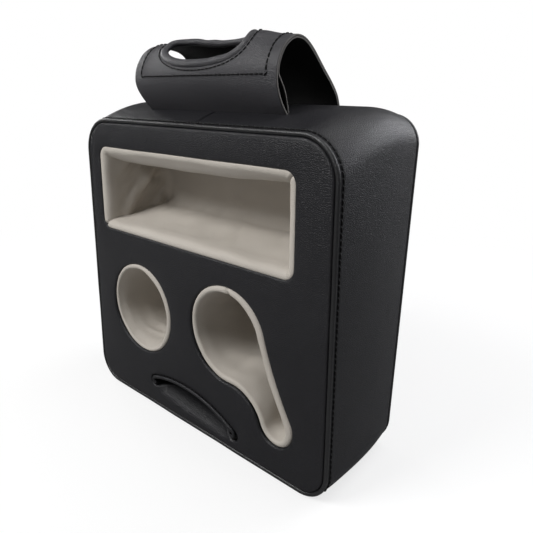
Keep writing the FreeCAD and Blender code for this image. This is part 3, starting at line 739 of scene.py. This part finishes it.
def tray_slack(points, depth):
    """The bag of the tray: a floor that climbs to the back, a drooping top, folds on the left wall."""
    x, z = points[:, 0].copy(), points[:, 2].copy()
    lowness = np.clip((TRAY_MID - z) / TRAY_HALF, 0, 1)
    highness = np.clip((z - TRAY_MID) / TRAY_HALF, 0, 1)
    points[:, 2] += CLIMB * ease_in(depth, 6 * MM, 70 * MM) * lowness
    along = np.clip((x - tray_low.x) / (tray_high.x - tray_low.x), 0, 1)
    droop = np.sin(math.pi * along ** 0.8) ** 0.6
    points[:, 2] -= DROOP * droop * highness * ease_in(depth, 1.5 * MM, 11 * MM)
    leftness = np.clip(1 - (x - tray_low.x - 8 * MM) / (20 * MM), 0, 1)
    wall = ease_in(depth, 9 * MM, 30 * MM) * (1 - ease_in(depth, 62 * MM, TRAY_DEPTH))
    slant = (depth * 0.9 - (z - tray_low.z) * 0.7) / (40 * MM)
    fold = np.maximum(np.sin(2 * math.pi * slant), 0) ** 0.7
    tuck = np.exp(-((z - TRAY_MID - 8 * MM) / (9 * MM)) ** 2 - ((depth - 44 * MM) / (8 * MM)) ** 2)
    wrinkle = np.abs(ripple(np.stack([slant * 0, slant * 0.06, z * 0.5], 1), 0.011, WRINKLE, 61))
    points[:, 0] += (FOLD * fold + TUCK * tuck + wrinkle) * leftness * wall
    upward = np.clip((TRAY_MID - z) / (0.4 * TRAY_HALF), -1, 1) * ease_in(depth, 7 * MM, 25 * MM)
    points[:, 2] += upward * np.abs(ripple(points, 0.028, 1.8 * MM, 11))
    points[:, 1] -= np.abs(ripple(points, 0.04, 2.5 * MM, 17)) * ease_in(depth, 40 * MM, TRAY_DEPTH)
    return points


print("tray: its floor climbs", CLIMB, "and its top droops", DROOP)

# %% Tray lining
def tray_shape(points, inset, depth):
    """The slack bag with an uneven roll and a pinch where the rolls of two sides are sewn together."""
    normal = outward(points[:, [0, 2]])
    uneven = ripple(points, 0.03, 1.5 * MM, 71) * min(max(inset / TRAY_ROLL, 0), 1)
    points[:, [0, 2]] -= normal * (uneven * (1 - ease_in(depth, 10 * MM, 25 * MM)))[:, None]
    points = tray_slack(points, depth)
    for x, z, sx, sz in ((tray_high.x, tray_high.z, -1, -1), (tray_high.x, tray_low.z, -1, 1),
                         (tray_low.x, tray_low.z, 1, 1)):
        along = np.array([sx, sz]) / math.sqrt(2)
        off = points[:, [0, 2]] - np.array([x, z])
        side = np.abs(off @ np.array([-along[1], along[0]]))
        run = off @ along
        near = (run > -2 * MM) & (run < 24 * MM) & (depth < 16 * MM)
        points[:, 1] += np.where(near, 2.2 * MM * np.exp(-(side / (1.0 * MM)) ** 2), 0)
    return points


points, faces = lining(tray_loop, tray_rings(), tray_shape, TRAY_HALF)
tray = make_piece("tray_lining", points, faces, BEIGE, ("tray_wall", "tray_floor"))

# %% The mouth of a round pocket
POCKET_DEPTH = 80 * MM
CUP_BEAD, MUG_BEAD = 2.1 * MM, 2.8 * MM


def uneven_mouth(points, inset, depth, bead, seed):
    """The rolled mouth is tight at its lower left, fuller on its right and never of one width."""
    normal = outward(points[:, [0, 2]])
    near = 1 - ease_in(depth, 3 * MM, 14 * MM)
    tight = np.clip(-0.8 * normal[:, 0] - 0.6 * normal[:, 1], 0, 1)
    full = np.clip(0.9 * normal[:, 0] + 0.4 * normal[:, 1], 0, 1)
    inner = min(max(inset / bead, 0), 1) * near
    width = 1.3 * MM * full + ripple(points, 0.016, 0.9 * MM, seed)
    points[:, [0, 2]] -= normal * (width * inner)[:, None]
    points[:, 1] += (1.9 * MM * tight - 0.5 * MM * full) * near
    return points


print("beads of the cup and the mug:", CUP_BEAD, MUG_BEAD)

# %% Cup lining
CREASES, CREASE = (28 * MM, 45 * MM), 1.3 * MM


def cup_shape(points, inset, depth):
    """Two slanting creases in the lower wall, as in a bag that is a little too wide."""
    points = uneven_mouth(points, inset, depth, CUP_BEAD, 51)
    low = np.clip((CUP_MIDDLE[1] - points[:, 2]) / CUP_R, 0, 1)
    slant = depth - (points[:, 0] - CUP_MIDDLE[0]) * 0.4
    slant = slant + ripple(points, 0.03, 9 * MM, 29)
    crease = sum(np.exp(-((slant - at) / (4.0 * MM)) ** 2) for at in CREASES)
    slack = np.abs(ripple(points, 0.022, 1.4 * MM, 23)) + CREASE * crease
    points[:, 2] += slack * low * ease_in(depth, 7 * MM, 22 * MM)
    return points


points, faces = lining(cup_loop, pocket_rings(POCKET_DEPTH, 8 * MM, CUP_BEAD), cup_shape, CUP_R - 2 * MM)
faces.append(floor_face(points, len(cup_loop(0))))
cup = make_piece("cup_lining", points, faces, BEIGE, ("cup_wall", "cup_floor"))

# %% Mug lining
def mug_shape(points, inset, depth):
    """Slow waves in the wall, and a pucker at the top where the ends of the strip meet."""
    points = uneven_mouth(points, inset, depth, MUG_BEAD, 57)
    deep = ease_in(depth, 5 * MM, 20 * MM)
    points[:, 2] += ripple(points, 0.022, 1.5 * MM, 31) * deep
    points[:, 0] += ripple(points, 0.026, 1.2 * MM, 37) * deep
    top = np.array([BOWL[0] + 3 * MM, BOWL[1] + BOWL_R - 4 * MM])
    off = points[:, [0, 2]] - top
    pucker = np.exp(-((off[:, 0] + off[:, 1] * 0.4) / (1.6 * MM)) ** 2 - (off[:, 1] / (6 * MM)) ** 2)
    points[:, 1] += 2.6 * MM * pucker * (depth < 14 * MM)
    return points


points, faces = lining(mug_loop, pocket_rings(POCKET_DEPTH, 4 * MM, MUG_BEAD), mug_shape)
faces.append(floor_face(points, len(mug_loop(0))))
mug = make_piece("mug_lining", points, faces, BEIGE, ("mug_wall", "mug_floor"))

# %% [markdown]
# ## The slit
# The upper edge of the slit is bound with a narrow rolled lip, which turns down round both ends and is sewn
# along its upper side. Behind it hangs a flat bag. The lip could be a bevelled curve; a tube of its own can
# sink at its two ends, where the binding is tucked in.

# %% Lip
END_R = 4.0 * MM
lip_line = slit_arc((SLIT_UPPER + SLIT_CLEAR) / 2, 90)


def lip_end(spot, sign):
    """The hook at an end of the lip: most of a half circle, down and back."""
    drop = SLIT_CENTRE - spot
    drop = drop / np.linalg.norm(drop)
    side = np.array([-drop[1], drop[0]]) * sign
    turn = np.radians(np.linspace(15, 150, 12))[:, None]
    return spot + END_R * (drop * (1 - np.cos(turn)) + side * np.sin(turn))


lip_flat = np.concatenate([lip_end(lip_line[0], -1)[::-1], lip_line, lip_end(lip_line[-1], 1)])
lip_flat = even_path(lip_flat, 1.5 * MM)
from_end = np.minimum(np.arange(len(lip_flat)), np.arange(len(lip_flat))[::-1])
taper = np.minimum(1, from_end / 9 + 0.15)
lip_path = np.stack([lip_flat[:, 0], FACE_Y - 0.2 * MM + 1.6 * MM * (1 - taper), lip_flat[:, 1]], 1)
run = np.gradient(lip_flat, axis=0)
across = np.stack([-run[:, 1], np.zeros(len(run)), run[:, 0]], 1)
points, faces = tube(lip_path, 12, False, 3.4 * MM, 3.0 * MM, across)
lip = make_piece("slit_lip_roll", points, faces, BLACK, ("slit_lip",))

# %% Stitches above the lip
seam = slit_arc(SLIT_UPPER + 1.0 * MM, 60)
seam = np.stack([seam[:, 0], panel_y(seam) - 0.1 * MM, seam[:, 1]], 1)
to_front = np.tile((0.0, -1.0, 0.0), (len(seam), 1))
points, faces = stitch_row(seam, to_front, 4.6 * MM, 3.4 * MM, 0.8 * MM)
make_piece("slit_stitches", points, faces, THREAD)

# %% Bag behind the slit
INNER = leather("dark_inner_hide", (0.005, 0.005, 0.005), (0.009, 0.009, 0.009), 0.62, 900, 0.0002, 0.2)
BAG_DEPTH = 59 * MM
loop = slit_loop(SLIT_CLEAR + 0.6 * MM, SLIT_LOWER - 0.4 * MM)
start = FACE_Y + 1.4 * MM + slit_push(loop)
bag_rows = [np.stack([loop[:, 0], start + (FACE_Y + BAG_DEPTH - start) * part, loop[:, 1]], 1)
            for part in np.linspace(0, 1, 9)]
points = np.concatenate(bag_rows)
faces = grid_faces(len(bag_rows), len(loop)) + [floor_face(points, len(loop))]
bag = make_piece("slit_bag", points, faces, INNER, ("slit_pocket",))

# %% [markdown]
# ## The tissue tunnel
# Two plies of leather are bent over from the front to the rear and sewn down on the block. They are cut
# flat, so they are drawn in the plane of the hide, along the block and along the bend, with the oval hole
# cut out, and then bent. Bending a plane with a curve modifier would pinch the hole; a function keeps the
# hide's length. Below the sewn line the two plies part a little, which shows at the ends.

# %% The bend
TUNNEL_HIDE = leather("tunnel_hide", (0.028, 0.027, 0.031), (0.042, 0.041, 0.046), 0.44, 720, 0.0005, 0.5)
EDGE = leather("cut_edge", (0.10, 0.095, 0.09), (0.16, 0.15, 0.14), 0.7, 1500, 0.0002, 0.3)
PROFILE = np.array([(-21, 291), (-29.5, 304), (-34.5, 314), (-36, 323), (-33.5, 332.5), (-27, 342.5),
                    (-18, 349), (-9, 351.3), (1, 349.5), (11, 343.5), (22, 334), (36, 321), (46, 308),
                    (50.5, 297.5)]) * MM
fine = []
for i in range(len(PROFILE) - 1):
    p0, p1 = PROFILE[max(i - 1, 0)], PROFILE[i]
    p2, p3 = PROFILE[i + 1], PROFILE[min(i + 2, len(PROFILE) - 1)]
    for t in np.arange(12) / 12:
        fine.append(0.5 * (2 * p1 + (p2 - p0) * t + (2 * p0 - 5 * p1 + 4 * p2 - p3) * t ** 2
                           + (3 * p1 - p0 - 3 * p2 + p3) * t ** 3))
bend = even_path(np.array(fine + [PROFILE[-1]]), 1.0 * MM)
bend_run = np.concatenate([[0], np.cumsum(np.linalg.norm(np.diff(bend, axis=0), axis=1))])
bend_along = np.gradient(bend, axis=0)
bend_along /= np.linalg.norm(bend_along, axis=1, keepdims=True)
BEND = bend_run[-1]
TUNNEL = 84 * MM
print("tunnel leather, length of the bend:", round(BEND, 4))

# %% Places on the flat hide
def run_at(y, z):
    """How far along the bend a point of the profile lies; y and z in millimetres."""
    return bend_run[np.argmin(np.linalg.norm(bend - np.array([y, z]) * MM, axis=1))]


HOLE_FRONT, HOLE_REAR = run_at(-33.7, 331.5), run_at(-1, 350)
HOLE_RUN, HOLE_WIDE = (HOLE_FRONT + HOLE_REAR) / 2, (HOLE_REAR - HOLE_FRONT) / 2
HOLE_X, HOLE_LONG = -3 * MM, 48.5 * MM
SEWN, REAR_ROW, PUFF_RUN = run_at(-35.9, 321), run_at(22, 334), run_at(20, 336)
FULLNESS = 2 / 2.25
print("hole:", 2 * HOLE_LONG, "by", 2 * HOLE_WIDE)


def oval(growth, count):
    """The hole's outline in the flat hide, a little fuller than an ellipse."""
    a = np.arange(count) * 2 * math.pi / count
    cos, sin = np.cos(a), np.sin(a)
    return np.stack([HOLE_X + (HOLE_LONG + growth) * np.sign(cos) * np.abs(cos) ** FULLNESS,
                     HOLE_RUN + (HOLE_WIDE + growth) * np.sign(sin) * np.abs(sin) ** FULLNESS], 1)


# %% From the flat hide to the bent one
LIFT_OF_TIP, LIFT_OF_PUFF, SAG_OF_ENDS, FOOT_IN = 4.5 * MM, 12.0 * MM, 2.0 * MM, 6 * MM


def bent(flat, offset):
    """Places on the bent hide, moved along its normal, with the hide's own slack."""
    x, s = flat[:, 0], np.clip(flat[:, 1], 0, BEND)
    y, z = (np.interp(s, bend_run, bend[:, k]) for k in (0, 1))
    ay, az = (np.interp(s, bend_run, bend_along[:, k]) for k in (0, 1))
    normal = np.stack([np.zeros(len(x)), -az, ay], 1)
    normal /= np.linalg.norm(normal, axis=1, keepdims=True)
    loose = ease_in(np.minimum(s, BEND - s), 4 * MM, 40 * MM)
    lift = -SAG_OF_ENDS * np.abs(x / TUNNEL) ** 3 * loose
    tip = np.exp(-((x - 50 * MM) / (15 * MM)) ** 2 - ((s - HOLE_RUN - 6 * MM) / (16 * MM)) ** 2)
    puff = np.exp(-((x + TUNNEL) / (40 * MM)) ** 2 - ((s - PUFF_RUN) / (20 * MM)) ** 2)
    lift = lift + LIFT_OF_TIP * tip
    lift = lift + LIFT_OF_PUFF * puff
    lift = lift + 0.7 * MM * np.sin(x / (19 * MM) + s / (23 * MM)) * loose
    foot_in = FOOT_IN * ease_in(-x, 60 * MM, TUNNEL) * (1 - ease_in(s, 0, 32 * MM))
    base = np.stack([x + foot_in, y, z], 1)
    return base + normal * (lift + offset)[:, None], normal


print("middle of the bent hide:", bent(np.array([[0, BEND / 2]]), np.zeros(1))[0][0].round(4))

# %% The two plies
def freeze(piece):
    """Keep what the modifiers made as the piece's own mesh."""
    graph = bpy.context.evaluated_depsgraph_get()
    mesh = bpy.data.meshes.new_from_object(piece.evaluated_get(graph))
    piece.modifiers.clear()
    piece.data = mesh


def ply(name, offset_of, thick, material, node):
    """One ply with its thickness; its cut edges show the pale core of the hide."""
    outline = rounded_loop(-TUNNEL, TUNNEL, 0, BEND, 1 * MM, 1 * MM, 60, 56, 3)
    flat, faces = panel_net(outline, [oval(0.6 * MM, 120)], 3.5 * MM, [1.2 * MM])
    points, normal = bent(flat, offset_of(flat))
    piece = make_piece(name, points, faces, material, (node,))
    piece.data.materials.append(EDGE)
    first = piece.data.polygons[0]
    if first.normal.dot(Vector(normal[first.vertices[0]])) < 0:
        piece.data.flip_normals()
    solid = piece.modifiers.new("thickness", "SOLIDIFY")
    solid.thickness = thick
    solid.offset = -1.0
    solid.material_offset_rim = 1
    freeze(piece)


def parting(flat):
    """0 at the sewn line and at the foot, 1 between them."""
    return np.sin(math.pi * np.clip(flat[:, 1] / SEWN, 0, 1))


def outer_offset(flat):
    return 1.2 * MM * parting(flat) * np.abs(flat[:, 0] / TUNNEL) ** 2


def lining_offset(flat):
    return -1.75 * MM - 4.2 * MM * parting(flat)


ply("tunnel_outer", outer_offset, 1.5 * MM, TUNNEL_HIDE, "sleeve_outer")
ply("tunnel_lining", lining_offset, 1.1 * MM, INNER, "sleeve_lining")

# %% Binding of the hole
ring = even_path(oval(0.2 * MM, 240), 1.6 * MM, True)
between_plies = np.full(len(ring), -1.2 * MM)
path, normal = bent(ring, between_plies)
across = bent(ring + outward(ring) * 1 * MM, between_plies)[0] - path
across /= np.linalg.norm(across, axis=1, keepdims=True)
points, faces = tube(path + across * 1.2 * MM, SIDES, True, 7.4 * MM, 6.0 * MM, across)
points += np.repeat(normal, SIDES, 0) * ripple(points, 0.012, 0.7 * MM, 41)[:, None]
binding = make_piece("hole_binding_roll", points, faces, TUNNEL_HIDE, ("hole_binding",))

# %% Stitches of the tunnel
ON_HIDE = 0.05 * MM
FRONT_END, REAR_END = 74 * MM, 75 * MM
around = oval(7.0 * MM, 200)
path, normal = bent(around, np.full(len(around), ON_HIDE))
hole_row = stitch_row(path, normal, 4.4 * MM, 3.2 * MM, 1.0 * MM, True)
corners = [(-REAR_END, REAR_ROW), (-FRONT_END, SEWN), (FRONT_END, SEWN), (REAR_END, REAR_ROW)]
counts = (40, 60, 40, 60)
flat = np.concatenate([line_points(corners[i], corners[(i + 1) % 4], counts[i]) for i in range(4)])
path, normal = bent(flat, outer_offset(flat) + ON_HIDE)
frame_row = stitch_row(path, normal, 4.6 * MM, 3.4 * MM, 1.1 * MM, True)
points, faces = join([hole_row, frame_row])
make_piece("tunnel_stitches", points, faces, THREAD)

# %% [markdown]
# ## Foam
# The foam carries the cover and can't be seen. It could be a plain box, but a copy of the CAD block already
# has room for the pockets, so it is used, drawn in a little under the leather. Below the slit, where the
# hide sinks in, a ball cuts a dent with a boolean.

# %% Foam body
FOAM = leather("foam", (0.04, 0.04, 0.04), (0.06, 0.06, 0.06), 0.9, 700, 0.0004, 0.1)
UNDER_HIDE = 1.8 * MM
net = bmesh.new()
net.from_mesh(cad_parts["foam_core"].data)
bmesh.ops.remove_doubles(net, verts=net.verts, dist=1e-6)
bmesh.ops.recalc_face_normals(net, faces=net.faces)
net.normal_update()
for vert in net.verts:
    vert.co -= vert.normal * UNDER_HIDE
net.verts.index_update()
points = [tuple(v.co) for v in net.verts]
faces = [tuple(v.index for v in f.verts) for f in net.faces]
net.free()
foam = make_piece("foam_body", points, faces, FOAM, ("foam_core",))

# %% Dent below the slit
bpy.ops.mesh.primitive_uv_sphere_add(segments=32, ring_count=16, radius=1)
dent = bpy.context.object
dent.location = (-2 * MM, FACE_Y, 27 * MM)
dent.rotation_euler = (0, math.radians(-SLIT_TILT), 0)
dent.scale = (66 * MM, 26 * MM, 22 * MM)
bpy.context.view_layer.update()
hollow = foam.modifiers.new("hollow", "BOOLEAN")
hollow.object = dent
hollow.operation = "DIFFERENCE"
freeze(foam)
bpy.data.objects.remove(dent)
foam.data.shade_flat()
print("foam faces:", len(foam.data.polygons))

# %% [markdown]
# ## Floor and world
# The block stands on white. A bright floor would throw light up at the leather, so the floor is grey for
# all rays but the camera's, and the camera sees it mixed with white: less near the block, where the soft
# shadow lies, and fully further out. The world is white for the camera alone and dim for the rest.

# %% Floor
SPAN = 6.0
WHITE_NEAR, WHITE_FAR = 0.72, 1.0
floor_mesh = bpy.data.meshes.new("floor")
floor_mesh.from_pydata([(-SPAN, -SPAN, 0), (SPAN, -SPAN, 0), (SPAN, SPAN, 0), (-SPAN, SPAN, 0)], [],
                       [(0, 1, 2, 3)])
floor = bpy.data.objects.new("floor", floor_mesh)
bpy.context.scene.collection.objects.link(floor)
pale, tree, shader = new_material("pale_floor")
shader.inputs["Roughness"].default_value = 0.8
shader.inputs["Specular IOR Level"].default_value = 0.1
camera_ray = add_node(tree, "LightPath").outputs["Is Camera Ray"]
reach = add_node(tree, "VectorMath", operation="LENGTH")
fade = add_node(tree, "MapRange", {"From Min": 0.15, "From Max": 0.85, "To Min": WHITE_NEAR,
                                   "To Max": WHITE_FAR}, interpolation_type="SMOOTHSTEP")
tone = add_node(tree, "MixRGB", {1: (0.28, 0.28, 0.28, 1), 2: (0.95, 0.95, 0.95, 1)})
share = add_node(tree, "Math", operation="MULTIPLY")
mix = add_node(tree, "MixShader")
tree.links.new(add_node(tree, "TexCoord").outputs["Object"], reach.inputs[0])
tree.links.new(reach.outputs["Value"], fade.inputs["Value"])
tree.links.new(camera_ray, tone.inputs[0])
tree.links.new(tone.outputs[0], shader.inputs["Base Color"])
tree.links.new(camera_ray, share.inputs[0])
tree.links.new(fade.outputs[0], share.inputs[1])
tree.links.new(share.outputs[0], mix.inputs[0])
tree.links.new(shader.outputs[0], mix.inputs[1])
tree.links.new(add_node(tree, "Emission").outputs[0], mix.inputs[2])
tree.links.new(mix.outputs[0], tree.nodes["Material Output"].inputs["Surface"])
floor_mesh.materials.append(pale)
print("floor:", 2 * SPAN)

# %% World
DIM = 0.10
world = bpy.data.worlds.new("studio")
bpy.context.scene.world = world
world.use_nodes = True
tree = world.node_tree
level = add_node(tree, "MapRange", {"To Min": DIM, "To Max": 1.0})
tree.links.new(add_node(tree, "LightPath").outputs["Is Camera Ray"], level.inputs["Value"])
tree.nodes["Background"].inputs["Color"].default_value = (1, 1, 1, 1)
tree.links.new(level.outputs[0], tree.nodes["Background"].inputs["Strength"])
print("world light:", DIM)

# %% [markdown]
# ## Lamps and camera
# Black leather shows its shape by what it mirrors. Small lamps would leave hard glints, so these are large
# soft boxes. The key stands in front on the left and leaves the left walls of the pockets in shade; the box
# behind on the right draws the broad light along the band's corner. The camera's place and lens were found
# by laying the block's straight edges over those in the photo.

# %% Lamps
def soft_box(name, place, aim, size, power, colour=(1, 1, 1)):
    lamp = bpy.data.lights.new(name, "AREA")
    lamp.shape = "RECTANGLE"
    lamp.size, lamp.size_y = size
    lamp.energy = power
    lamp.color = colour
    holder = bpy.data.objects.new(name, lamp)
    holder.location = place
    holder.rotation_mode = "QUATERNION"
    holder.rotation_quaternion = (Vector(aim) - Vector(place)).to_track_quat("-Z", "Y")
    bpy.context.scene.collection.objects.link(holder)
    print(name, "watts:", power)


MIDDLE, TOP = (0, 0, 0.16), (0, 0, 0.29)
soft_box("key_box", (-0.55, -1.15, 1.3), MIDDLE, (0.8, 0.7), 26)
soft_box("front_box", (0.25, -1.25, 0.7), MIDDLE, (0.6, 0.6), 0.8)
soft_box("top_box", (0.35, 0.3, 1.3), MIDDLE, (0.9, 0.7), 5.5)
soft_box("left_box", (-1.45, 0.15, 0.6), TOP, (0.6, 0.5), 6)
soft_box("right_box", (1.25, 0.1, 0.95), MIDDLE, (0.5, 0.7), 2.8, (0.93, 0.95, 1.0))
soft_box("back_box", (0.66, 1.3, 0.8), MIDDLE, (1.0, 0.7), 13, (0.95, 0.96, 1.0))

# %% Camera
camera_data = bpy.data.cameras.new("camera")
camera = bpy.data.objects.new("camera", camera_data)
bpy.context.scene.collection.objects.link(camera)
ahead = Vector((-0.63, 0.7385, -0.2402)).normalized()
right = Vector((0.7594, 0.6506, 0.0086)).normalized()
up = right.cross(ahead).normalized()
right = ahead.cross(up).normalized()
camera.matrix_world = Matrix((
    (right.x, up.x, -ahead.x, 0.3244),
    (right.y, up.y, -ahead.y, -0.3254),
    (right.z, up.z, -ahead.z, 0.3071),
    (0, 0, 0, 1)))
camera_data.lens = 34.5
camera_data.sensor_width = 36
camera_data.shift_y = -0.0872
camera_data.clip_start = 0.01
bpy.context.scene.camera = camera
bpy.context.scene.view_settings.view_transform = "Standard"
print("camera lens:", camera_data.lens)

# %% [markdown]
# ## Finish
# The leather may swell a little over the CAD box.

# %% Finish
bpy.context.view_layer.update()
